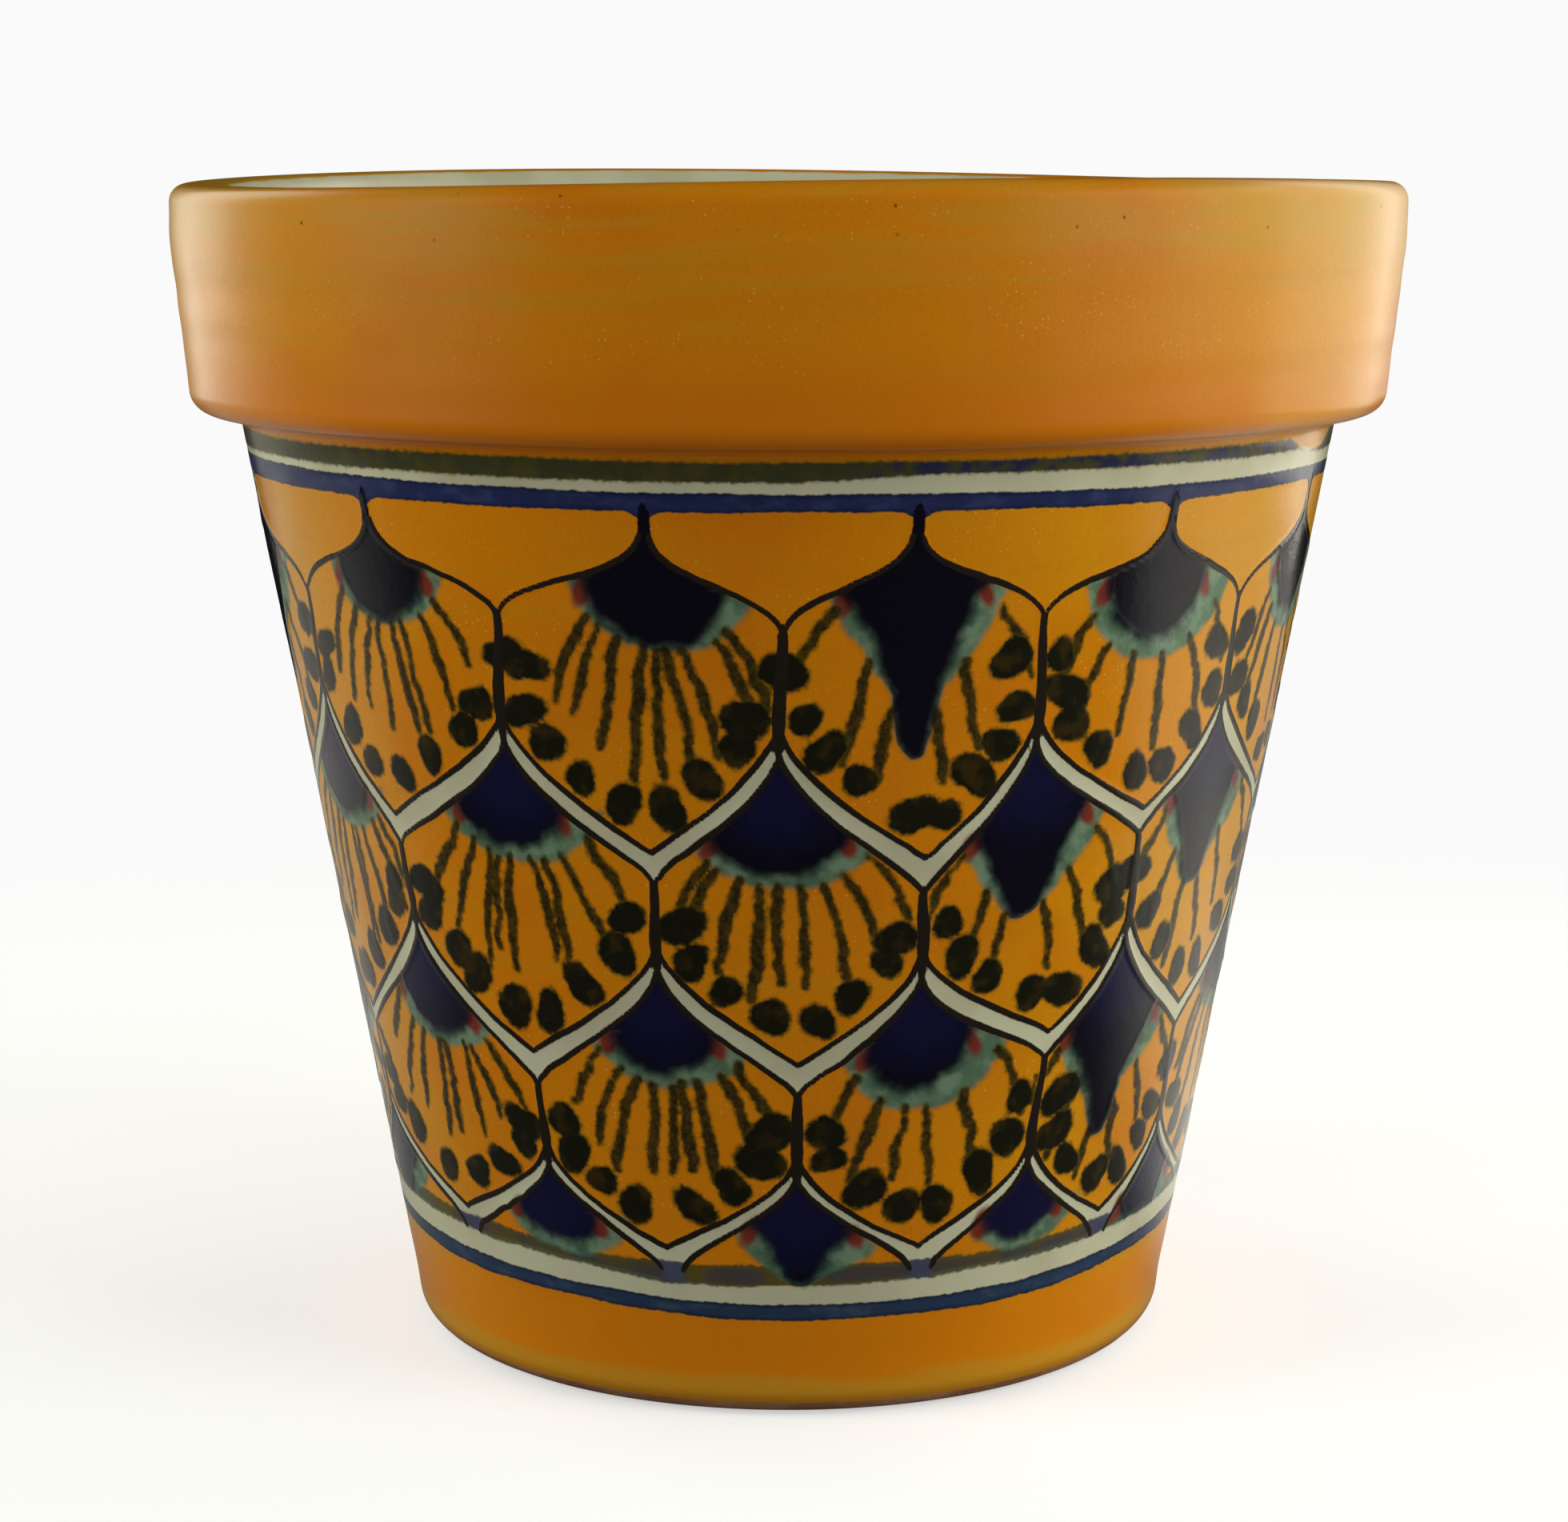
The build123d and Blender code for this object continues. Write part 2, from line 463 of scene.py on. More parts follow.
def path_distance(grid, line, widths):
    """Distance from grid points to the edge of a line with a half width at each of its points."""
    nearest = np.full(grid.shape[:2], FAR)
    for a, b, wide_a, wide_b in zip(line, line[1:], widths, widths[1:]):
        run = b - a
        share = np.clip(((grid - a) @ run) / max(run @ run, 1e-9), 0, 1)
        gap = np.linalg.norm(grid - a - share[..., None] * run, axis=-1)
        nearest = np.minimum(nearest, gap - (wide_a + share * (wide_b - wide_a)))
    return nearest


def inside_loop(grid, line):
    """Whether grid points lie inside a closed line."""
    inside = np.zeros(grid.shape[:2], bool)
    x, y = grid[..., 0], grid[..., 1]
    for a, b in zip(line, line[1:]):
        if a[1] != b[1]:
            crosses = (a[1] > y) != (b[1] > y)
            inside ^= crosses & (x < a[0] + (y - a[1]) / (b[1] - a[1]) * (b[0] - a[0]))
    return inside


def wobble(points, amount):
    """A stroke's points moved by an unsteady hand, by up to about amount mm."""
    count = len(points)
    drift = np.cumsum(rng.normal(0, 1, (count, 2)), axis=0)
    drift -= np.linspace(0, 1, count)[:, None] * drift[-1]
    drift *= amount / max(np.abs(drift).max(), 1)
    return points + np.stack([degrees_across(drift[:, 0], points[:, 1]), drift[:, 1]], axis=1)


def pressed(count, base, ends):
    """Half widths along a stroke: base in the middle, ends times that at both tips, a little uneven."""
    t = np.linspace(0, 1, count)
    taper = ends + (1 - ends) * np.sin(math.pi * t) ** 0.6
    return base * taper * (1 + 0.12 * np.sin(t * rng.uniform(5, 9) + rng.uniform(0, 6)))


line_canvas, inside_canvas, heart_canvas, apex_canvas = Canvas(), Canvas(), Canvas(), Canvas()
fleck_canvas, ray_canvas, dot_canvas = Canvas(), Canvas(), Canvas()
teal_canvas = Canvas()

LINE_HALF_WIDTH = 0.62
STEM_RISE = 1.8                         # a stem's tip runs this far into the cobalt band
STEM_HALF_WIDTHS = (1.25, 1.15, 0.1)    # at its foot, at the band's edge and at its tip


def paint_outlines(scale):
    """The liner-brush outline of one scale."""
    for side in scale.sides:
        shoulder = wobble(scale.shoulder(side), 0.35)
        line_canvas.stroke(shoulder, pressed(len(shoulder), LINE_HALF_WIDTH, 0.8))
        if scale.row < 3:
            flank = wobble(scale.flank(side), 0.3)
            line_canvas.stroke(flank, pressed(len(flank), LINE_HALF_WIDTH, 0.85))
            sign, top, bottom = side
            apex_below = bottom - (0, APEX_DROP)
            post = wobble(np.vstack([bezier(top, top - (0, 5), bottom + (0, 5), bottom, 8), apex_below]), 0.2)
            post[:, 0] -= sign * 0.15
            line_canvas.stroke(post, np.r_[np.linspace(0.6, 1.05, len(post) - 1), 0.6])
    inside_canvas.patch(scale.outline())
    if scale.row == 0:
        heights = np.linspace(FIELD_TOP + STEM_RISE, STEM_FOOT - 1, 8)
        stem = wobble(np.stack([np.full(8, scale.apex[0]), heights], 1), 0.25)
        places = [STEM_FOOT, FIELD_TOP, FIELD_TOP + STEM_RISE]
        heart_canvas.stroke(stem, np.interp(heights, places, STEM_HALF_WIDTHS))


HEART_HALF_WIDTH = (13.4, 12.5, 11.0, 9.0)      # mm, row by row
HEART_DEPTH = {
    "fan": (11.5, 8.8, 7.6, 7.0),
    "round": (14.0, 12.0, 12.0, 8.0),
    "drip": (31.0, 20.5, 25.0, 13.0),
}
DRIP_WIDTH = (0.22, 0.32, 0.24, 0.3)            # a drip's tongue, as a share of the heart's half width
DRIP_BOWL = 0.58                                # share of a drip's depth that the kite above its tongue takes
HEART_SKEW = {(1, 1): -0.1, (1, 3): 0.1, (2, 0): 0.15, (2, 3): 0.1, (3, 2): 0.1}   # by (row, column)


def trimmed(scale, side, reach):
    """The part of a shoulder from the apex out to reach mm across."""
    curve = scale.shoulder(side)
    across = np.abs(mm_across(curve[:, 0] - scale.apex[0], curve[:, 1]))
    return np.vstack([curve[across < reach - 0.3], points_at(reach, across, curve)])


def heart_shape(scale):
    """Closed loop of a scale's cobalt heart, its two corners and its lower edge."""
    half_width = HEART_HALF_WIDTH[scale.row] * rng.uniform(0.95, 1.06)
    skew = HEART_SKEW.get((scale.row, scale.column), rng.uniform(-0.08, 0.08))
    if scale.style == "drip" and scale.row > 1:
        half_width *= 1.15
    left, right = (trimmed(scale, side, half_width * (1 + side[0] * skew)) for side in scale.sides)
    corners = left[-1], right[-1]
    across = np.linspace(1, -1, 37)
    depth = HEART_DEPTH[scale.style][scale.row] * rng.uniform(0.93, 1.07)
    shape = (1 - across ** 2) ** 0.55
    if scale.style == "drip":
        wide = DRIP_WIDTH[scale.row]
        off_centre = np.abs(across - rng.uniform(-0.1, 0.1) * (1 - np.abs(across)))
        shape = np.interp(off_centre, [0, 0.5 * wide, wide, 1.5 * wide, 1], [1, 0.99, 0.88, DRIP_BOWL, 0])
    share = (across[:, None] + 1) / 2
    lower = corners[0] + (corners[1] - corners[0]) * share
    lower[:, 1] -= depth * shape
    lower = wobble(lower, 0.9)
    loop = np.vstack([left[::-1], right, lower[1:-1]])
    return loop, corners, lower


def teal_reach(scale, share):
    """How far the teal shows beyond a heart's lower edge, in mm; share runs from -1 to 1 across the heart."""
    wing = np.abs(share)
    under = 0.4 if scale.row == 0 else 2.5
    width = {"fan": under + 3.4 * wing ** 2, "round": 3.4 + 2.6 * wing, "drip": 4.6 * smooth(wing, 0.2, 0.8)}
    return width[scale.style] * (1 + 0.3 * share)


def pushed_out(points, share, reach):
    """A heart's lower edge moved out by reach mm: straight down in its middle, sideways at its corners."""
    turn = np.clip(share, -1, 1) * math.pi / 2
    sideways = degrees_across(np.sin(turn) * reach, points[..., 1])
    return points + np.stack([sideways, -np.cos(turn) * reach], axis=-1)


def teal_loop(scale, corners, lower):
    """Closed loop of the teal wash that shows round a heart's lower edge."""
    middle = (corners[0] + corners[1]) / 2
    half = (corners[1][0] - corners[0][0]) / 2
    share = (lower[:, 0] - middle[0]) / half
    edge = pushed_out(lower, share, teal_reach(scale, share) * rng.uniform(0.85, 1.15))
    return np.vstack([corners[0], corners[1], edge])


def paint_heart(scale):
    """The cobalt heart with its red flecks."""
    loop, corners, lower = heart_shape(scale)
    heart_canvas.patch(loop)
    if scale.row > 0:
        apex_canvas.blob(scale.apex - (0, 4), 14, 12, 90, 12)
    scale.lower, scale.corners = lower, corners
    teal_canvas.patch(teal_loop(scale, corners, lower))
    for index, corner, outward in ((3, corners[1], 1), (-4, corners[0], -1)):
        if rng.uniform() < 0.92:
            spot = corner + 0.5 * (lower[index] - corner) + (outward * 0.5, -0.3)
            long, wide = rng.uniform(2.7, 3.5), rng.uniform(1.5, 2.0)
            fleck_canvas.blob(spot, long, wide, -outward * rng.uniform(55, 75))


def paint_rays(scale):
    """Dry-brush rays that fan out below the heart."""
    lower, corners = scale.lower, scale.corners
    count = int(rng.integers(*{"fan": (8, 10), "round": (6, 8), "drip": (7, 9)}[scale.style]))
    for k in range(count):
        share = -0.86 + 1.72 * k / (count - 1) + rng.uniform(-0.06, 0.06)
        if scale.style == "drip" and abs(share) < 0.22:
            continue
        across = corners[0][0] + (corners[1][0] - corners[0][0]) * (share + 1) / 2
        edge = np.array([across, np.interp(across, lower[::-1, 0], lower[::-1, 1])])
        start = pushed_out(edge, share, 0.9 * teal_reach(scale, share))
        length = 0.57 * (start[1] - scale.tip[1]) * (1 - 0.45 * share ** 2) * rng.uniform(0.82, 1.1)
        lean = math.radians(share * 44 + rng.uniform(-6, 6))
        reach = np.array([degrees_across(math.sin(lean) * length, start[1]), -math.cos(lean) * length])
        droop = np.array([-0.22 * reach[0], -0.06 * length])
        ray = bezier(start, start + reach / 3, start + reach * 2 / 3 + droop / 3, start + reach + droop, 12)
        ray = wobble(ray, 0.85)
        ray_canvas.stroke(ray, pressed(len(ray), rng.uniform(1.05, 1.4), 0.8))


def paint_dots(scale):
    """Dabs along the inside of the two flanks, from the posts down to the tip."""
    for side in scale.sides:
        sign, top, bottom = side
        post = np.linspace(top - (0, 7), bottom, 6)
        route = np.vstack([post[:-1], scale.flank(side)])
        lengths = lengths_along(to_mm(route, scale.apex[0]))
        count = round(lengths[-1] / rng.uniform(9.4, 10.8))
        for k in range(count):
            gone = (lengths[-1] - 4) * (k + rng.uniform(-0.15, 0.15)) / (count - 0.6)
            point = points_at(gone, lengths, route)
            ahead = points_at(gone + 1, lengths, route) - point
            run = np.array([mm_across(ahead[0], point[1]), ahead[1]])
            run /= max(np.linalg.norm(run), 1e-6)
            inward = np.array([run[1], -run[0]]) * (1 if sign > 0 else -1)
            wide = rng.uniform(3.2, 4.1)
            inset = wide + rng.uniform(1.0, 2.2)
            centre = point + (degrees_across(inward[0] * inset, point[1]), inward[1] * inset)
            tilt = math.degrees(math.atan2(inward[1], inward[0])) + rng.uniform(-40, 40)
            dot_canvas.blob(centre, wide * rng.uniform(1.05, 1.4), wide, tilt, uneven=rng.uniform(0.05, 0.15))


for scale in SCALES:
    paint_outlines(scale)
    paint_heart(scale)
    if scale.row < 3:
        paint_rays(scale)
        paint_dots(scale)

# ---------------------------------------------------------------- fields over the whole skin


def over_skin(field_values, fill=FAR):
    """Values on the painted field's rows, with a fill value on every other row."""
    values = np.full((ROWS, COLUMNS), fill)
    values[field_rows] = field_values
    return values


def gap_distance():
    """Signed distance of the cream gaps between scales: negative inside a gap."""
    height = field_height[:, None]
    return np.maximum(-inside_canvas.values, np.maximum(height - 150.0, 28.0 - height))


WHITE_DIP = 1.2                         # mm: the lower white stripe narrows at the front by this much
BAND_LEAN = 0.75                        # mm: the upper cobalt band's top falls to the right by this much
DARK_RISE = 1.3                         # mm: the dark band's lower edge steps up where its two ends overlap
BRUSH_LIFT = 67                         # degrees: the dark band is bare here, where the brush was lifted
STEM_FILLET = 1.6                       # mm: the cobalt band runs this far down beside a stem


banded_height = row_height[:, None] - smooth(row_height, 60, 35)[:, None] * band_rise(column_angle)


def band(low, high, seed, rough=0.35):
    """Signed distance of a painted band whose edges waver a little."""
    drift = ripples(seed, 9, (400, 900), 6, ALONG[:1])[0] * rough
    wander = ripples(seed + 1, 40, (400, 900), 10, ALONG[:1])[0] * rough * 0.5
    outside = (np.arange(ROWS) >= FIRST_FIELD_ROW)[:, None]
    distance = np.maximum(low + drift + wander - banded_height, banded_height - high - drift * 0.8 + wander)
    return np.where(outside, distance, FAR)


def beside_stems():
    """1 at a stem, falling to 0 a few mm to either side."""
    near = np.zeros(COLUMNS)
    for stem in STEMS:
        across = mm_across(wrapped(column_angle, stem) - stem, FIELD_TOP)
        near = np.maximum(near, np.exp(-(np.abs(across) / 2.1) ** 2))
    return near


brush_start = smooth(column_angle, 0, 14) * (1 - smooth(column_angle, 62, 70))   # the dark band's overlap
brush_lift = smooth(np.abs(column_angle - BRUSH_LIFT), 8, 2)
to_right = np.sin(np.radians(column_angle))
blue_edge = UPPER_COBALT_TOP - 0.3 - BAND_LEAN * to_right
dark_edge = UPPER_WHITE_TOP - 0.7 + DARK_RISE * brush_start
dark_top = UPPER_DARK_TOP + 0.3 - 3.0 * brush_lift
white_edge = LOWER_WHITE_TOP - WHITE_DIP * smooth(np.abs(column_angle + 2), 32, 8)
below_scales = white_edge + 0.3 - banded_height    # positive from the lower white stripe down
heart = np.maximum(over_skin(heart_canvas.values), below_scales)

FIELDS = {
    "line": over_skin(line_canvas.values),
    "heart": heart,
    "apex": over_skin(apex_canvas.values),
    "teal": np.maximum(over_skin(np.maximum(teal_canvas.values, inside_canvas.values + 0.3)), below_scales),
    "fleck": over_skin(fleck_canvas.values),
    "ray": over_skin(np.maximum(ray_canvas.values, inside_canvas.values + 0.8)),
    "dot": over_skin(dot_canvas.values),
    "gap": over_skin(gap_distance()),
    "stripe_top": band(blue_edge - 0.7, dark_edge + 0.5, 21, 0.2),
    "dark": band(dark_edge, dark_top, 23, 0.25),
    "blue_top": band(FIELD_TOP - STEM_FILLET * beside_stems(), blue_edge, 25, 0.25),
    "wash": band(white_edge, WASH_TOP - 0.5, 27, 0.5),
    "stripe_low": band(LOWER_COBALT_TOP - 0.9, white_edge + 0.7, 29),
    "blue_low": band(FOOT_TOP, LOWER_COBALT_TOP, 31),
    "lip": (row_lengths - LIP_JOINT)[:, None] + np.zeros(COLUMNS),
    "height": row_height[:, None] + np.zeros(COLUMNS),
    # painted side light: 1 at the pot's left and right as the camera sees it, 0 at its front and back, with a
    # little random tone
    "side_light_and_tone": np.sin(np.radians(column_angle + 8)) ** 2 + 0.25 * ripples(41, 5, (40, 160), 6),
    "bluing": over_skin(brush_start, 0.0),
}

# ---------------------------------------------------------------- shape of the skin

LIP_TILT, LIP_OVAL, LIP_TWIST = -0.53, 0.76, 0.83      # mm: the lip is thrown a little out of level


def lip_warp():
    """Height of the lip from the CAD's level crest, round the pot: zero or less."""
    turn = np.radians(column_angle)
    warp = LIP_TILT * np.cos(turn) + LIP_OVAL * np.cos(2 * turn) + LIP_TWIST * np.sin(2 * turn)
    return warp - warp.max()


def relief():
    """Height of the surface along its normal, in mm, below the CAD's outer surface."""
    inside = (row_lengths < LIP_JOINT)[:, None]
    field = (np.arange(ROWS) >= FIRST_FIELD_ROW)[:, None]
    near_foot = smooth(row_height, GLAZE_BOTTOM + 9, GLAZE_BOTTOM)[:, None] * field
    spiral = 2 * math.pi * (row_lengths[:, None] / 9.0 + column_angle[None, :] / 360)
    groove = 0.08 + 0.14 * smooth(row_height, FLOOR + 1, FLOOR + 12)[:, None]
    fingers = groove * np.sin(spiral) * (1 + 0.5 * ripples(3, 5, (60, 120), 5))
    throwing = np.where(inside, fingers, np.where(field, 0.03, 0.07) * ripples(4, 3, (7, 22), 12))
    swell = 0.08 * ripples(5, 6, (40, 160), 8)
    paint = (0.10 * smooth(FIELDS["line"], 0.45, -0.35)
             + 0.10 * smooth(heart, 0.5, -0.6) + 0.05 * smooth(np.abs(heart + 0.6), 0.8, 0)
             + 0.06 * smooth(FIELDS["dot"], 0.4, -0.6)
             + 0.04 * smooth(FIELDS["ray"], 0.3, -0.4))
    for name in ("dark", "blue_top", "wash", "blue_low"):
        paint = paint + 0.05 * smooth(FIELDS[name], 0.4, -0.4)
    surface = -0.28 + throwing + swell + paint
    return np.minimum(surface * (1 - near_foot), 0)


def skin_points(depth):
    """Points of the skin at a depth along its normal, warped at the rim, as (x, y, z) in mm."""
    radius = row_radius[:, None] + row_normal[:, :1] * depth
    height = row_height[:, None] + row_normal[:, 1:] * depth
    share = smooth(row_height, RIM_BOTTOM + 4, HEIGHT - 6)[:, None]
    height = height + lip_warp()[None, :] * share
    turn = np.radians(column_angle)[None, :]
    return np.stack([radius * np.sin(turn), -radius * np.cos(turn), height], axis=-1)


def normals(points):
    """Unit normals of the skin's grid, pointing out of the clay."""
    closed = np.concatenate([points[:, -1:], points, points[:, :1]], axis=1)
    around = closed[:, 2:] - closed[:, :-2]
    along = np.gradient(points, axis=0)
    normal = np.cross(along, around)
    return normal / np.linalg.norm(normal, axis=-1, keepdims=True)


OUTER = skin_points(relief())
NORMAL = normals(OUTER)
INNER = OUTER - NORMAL * GLAZE_THICKNESS

# ---------------------------------------------------------------- cutting the skin into tiles


def coarse_cells(rows, columns):
    """Faces of a coarse back whose rim keeps every fine point, as lists of (row, column)."""
    faces = []
    for top in range(0, rows - 1, ROW_STEP):
        for left in range(0, columns - 1, COLUMN_STEP):
            bottom, right = top + ROW_STEP, left + COLUMN_STEP
            loop = [(top, left)]
            loop += [(top, left + k) for k in range(1, COLUMN_STEP) if top == 0]
            loop.append((top, right))
            loop += [(top + k, right) for k in range(1, ROW_STEP) if right == columns - 1]
            loop.append((bottom, right))
            loop += [(bottom, right - k) for k in range(1, COLUMN_STEP) if bottom == rows - 1]
            loop.append((bottom, left))
            loop += [(bottom - k, left) for k in range(1, ROW_STEP) if left == 0]
            faces.append(loop)
    return faces


def show(thing):
    """Put an object in the scene."""
    bpy.context.scene.collection.objects.link(thing)


def add_mesh(name, points, faces, material, fields=None, point_normals=None):
    """A smooth-shaded object from points in mm, with its painted fields and its own normals."""
    mesh = bpy.data.meshes.new(name)
    mesh.from_pydata((np.asarray(points) * MM).tolist(), [], faces)
    mesh.update()
    mesh.shade_smooth()
    for key, values in (fields or {}).items():
        attribute = mesh.attributes.new(key, "FLOAT", "POINT")
        attribute.data.foreach_set("value", np.asarray(values, np.float32))
    if point_normals is not None:
        mesh.normals_split_custom_set_from_vertices(np.asarray(point_normals).tolist())
    mesh.materials.append(material)
    piece = bpy.data.objects.new(name, mesh)
    show(piece)
    return piece


def tile(name, first_row, row_count, first_column, column_count, material, keys):
    """One closed tile of the glaze: fine outside, coarse inside, walls between them."""
    row_index = np.arange(first_row, min(first_row + row_count + 1, ROWS))
    column_index = np.arange(first_column, first_column + column_count + 1) % COLUMNS
    rows, columns = len(row_index), len(column_index)
    block = np.ix_(row_index, column_index)
    outer = np.arange(rows * columns).reshape(rows, columns)
    i, j = np.indices((rows, columns))
    rim = (i == 0) | (j == 0) | (i == rows - 1) | (j == columns - 1)
    kept = rim | ((i % ROW_STEP == 0) & (j % COLUMN_STEP == 0))
    inner = np.full((rows, columns), -1)
    inner[kept] = rows * columns + np.arange(kept.sum())
    quads = np.stack([outer[:-1, :-1], outer[1:, :-1], outer[1:, 1:], outer[:-1, 1:]], axis=-1)
    faces = quads.reshape(-1, 4).tolist()
    faces += [[int(inner[cell]) for cell in loop] for loop in coarse_cells(rows, columns)]
    loop = ([(0, k) for k in range(columns - 1)] + [(k, columns - 1) for k in range(rows - 1)]
            + [(rows - 1, k) for k in range(columns - 1, 0, -1)] + [(k, 0) for k in range(rows - 1, 0, -1)])
    for here, after in zip(loop, loop[1:] + loop[:1]):
        faces.append([int(outer[here]), int(outer[after]), int(inner[after]), int(inner[here])])
    points = np.vstack([OUTER[block].reshape(-1, 3), INNER[block][kept]])
    facing = np.vstack([NORMAL[block].reshape(-1, 3), -NORMAL[block][kept]])
    fields = {key: np.r_[FIELDS[key][block].ravel(), FIELDS[key][block][kept]] for key in keys}
    return add_mesh(name, points, faces, material, fields, facing)


# ---------------------------------------------------------------- materials

ORANGE = (0.83, 0.262, 0.0015)
OCHRE = (0.70, 0.31, 0.006)
# yellow of the sides, where side light is painted
SIDE_LIT_YELLOW = (0.80, 0.36, 0.006)
KHAKI = (0.62, 0.355, 0.03)
DEEP_ORANGE = (0.76, 0.19, 0.002)
BRIGHT_ORANGE = (0.95, 0.27, 0.002)
FOOT_KHAKI = (0.74, 0.36, 0.022)
GRAIN_TINT = (0.80, 0.72, 0.60)
SAND = (0.88, 0.58, 0.16)
IRON_SPECK = (0.15, 0.06, 0.01)
PIN_HOLE = (0.12, 0.04, 0.01)
POOLED_AND_SHADED_RIM = (0.7, 0.5, 0.3)            # tints of painted shade, over glaze pooled thick: under the rim, and on the foot's underside by the floor
POOLED_AND_SHADED_WALL = (0.62, 0.45, 0.3)
POOLED_AND_SHADED_FOOT = (0.6, 0.5, 0.35)
CREAM = (0.70, 0.67, 0.475)
CREAM_WORN = (0.60, 0.555, 0.38)
CREAM_SPECK = (0.25, 0.17, 0.08)
NAVY = (0.007, 0.006, 0.013)
COBALT = (0.011, 0.010, 0.050)
WET_EDGE = (0.012, 0.024, 0.029)
BAND_BLUE = (0.022, 0.030, 0.110)
BAND_PALE = (0.055, 0.072, 0.185)
BAND_EDGE = (0.009, 0.016, 0.042)
LOW_BLUE = (0.028, 0.052, 0.115)
LOW_PALE = (0.078, 0.110, 0.170)
OLIVE = (0.085, 0.078, 0.022)
OLIVE_BLACK = (0.04, 0.045, 0.035)
OLIVE_BLUE = (0.03, 0.035, 0.09)
YELLOW_FRINGE = (0.16, 0.13, 0.008)
OLIVE_WASH = (0.085, 0.088, 0.008)
BLUE_WASH = (0.018, 0.048, 0.075)
TEAL = (0.075, 0.19, 0.125)
TEAL_PALE = (0.18, 0.32, 0.22)
TEAL_TINT = (0.35, 0.45, 0.3)
RED = (0.24, 0.035, 0.02)
INK = (0.022, 0.016, 0.012)
DOT_INK = (0.014, 0.013, 0.007)
DOT_STAIN = (0.11, 0.078, 0.006)
CLAY = (0.42, 0.17, 0.085)
CLAY_PALE = (0.55, 0.27, 0.15)
CLAY_SPECK = (0.25, 0.10, 0.06)


class Graph:
    """A short way to write the nodes of a material or of the world."""

    def __init__(self, owner, shader="Principled BSDF"):
        owner.use_nodes = True
        self.owner, self.tree = owner, owner.node_tree
        self.shader = self.tree.nodes[shader]

    def fill(self, node, sockets):
        """Link outputs to a node's sockets, or set the sockets to plain numbers or colours."""
        for key, value in sockets.items():
            socket = node.inputs[key]
            if isinstance(value, bpy.types.NodeSocket):
                self.tree.links.new(value, socket)
            elif isinstance(value, tuple) and len(socket.default_value) == 4:
                socket.default_value = (*value, 1.0)
            else:
                socket.default_value = value

    def add(self, kind, sockets=None, **settings):
        """A node with its settings, such as its operation, and its sockets filled."""
        node = self.tree.nodes.new(kind)
        for key, value in settings.items():
            setattr(node, key, value)
        self.fill(node, sockets or {})
        return node

    def field(self, name):
        """One of the skin's painted fields."""
        return self.add("ShaderNodeAttribute", attribute_name=name).outputs["Fac"]

    def place(self):
        """Object coordinates, in metres."""
        return self.add("ShaderNodeTexCoord").outputs["Object"]

    def sum(self, operation, *values):
        """Arithmetic on two or three numbers."""
        return self.add("ShaderNodeMath", dict(enumerate(values)), operation=operation).outputs[0]

    def times(self, a, b):
        """One number times another."""
        return self.sum("MULTIPLY", a, b)

    def stretched(self, size, stretch):
        """Object coordinates in units of size mm, more or less per axis."""
        scale = [axis / (size * MM) for axis in stretch]
        return self.add("ShaderNodeMapping", {"Vector": self.place(), "Scale": scale}).outputs[0]

    def noise(self, size, detail=2.0, stretch=(1, 1, 1), rough=0.5):
        """Smooth noise with features of about size mm, from 0 to 1."""
        place = self.stretched(size, stretch)
        sockets = {"Vector": place, "Scale": 1.0, "Detail": detail, "Roughness": rough}
        return self.add("ShaderNodeTexNoise", sockets).outputs["Fac"]

    def spots(self, spacing, radius, share, most=1.0):
        """Scattered round spots: most inside a spot of radius mm, on a share of cells spacing mm apart."""
        cells = self.add("ShaderNodeTexVoronoi", {"Vector": self.stretched(spacing, (1, 1, 1)), "Scale": 1.0})
        near = self.ramp(cells.outputs["Distance"], radius / spacing, 0.5 * radius / spacing, 0.0, most)
        channels = self.add("ShaderNodeSeparateColor", {0: cells.outputs["Color"]}).outputs
        return self.times(near, self.sum("LESS_THAN", channels[0], share))

    def ramp(self, value, start, end, low=0.0, high=1.0):
        """Smooth step from low at start to high at end."""
        sockets = {"Value": value, "From Min": start, "From Max": end, "To Min": low, "To Max": high}
        return self.add("ShaderNodeMapRange", sockets, interpolation_type="SMOOTHSTEP").outputs[0]

    def cover(self, name, soft, ragged=0.5, amount=0.0, most=1.0, inset=0.0):
        """How much a field's paint covers a point: most where it is negative, with a soft, ragged edge."""
        shift = self.sum("MULTIPLY_ADD", ragged, 2 * amount, inset - amount)
        return self.ramp(self.sum("ADD", self.field(name), shift), soft, -soft, 0.0, most)

    def mix(self, share, under, over, blend="MIX"):
        """One colour laid over another."""
        settings = {"data_type": "RGBA", "blend_type": blend, "clamp_factor": True}
        return self.add("ShaderNodeMix", {"Factor": share, 6: under, 7: over}, **settings).outputs[2]

    def tint(self, share, under, over):
        """A translucent wash: the colour under it multiplied."""
        return self.mix(share, under, over, "MULTIPLY")

    def finish(self, colour, roughness, height, depth, coat=0.35, coat_roughness=0.15):
        """Colour, roughness and fine surface relief of depth mm on the shader; gives the material."""
        bump = self.add("ShaderNodeBump", {"Strength": 1.0, "Distance": depth * MM, "Height": height})
        self.fill(self.shader, {
            "Base Color": colour, "Roughness": roughness, "Specular IOR Level": 0.3,
            "Coat Weight": coat, "Coat Roughness": coat_roughness, "Normal": bump.outputs[0]})
        return self.owner


def new_graph(name):
    """The graph of a new material."""
    return Graph(bpy.data.materials.new(name))


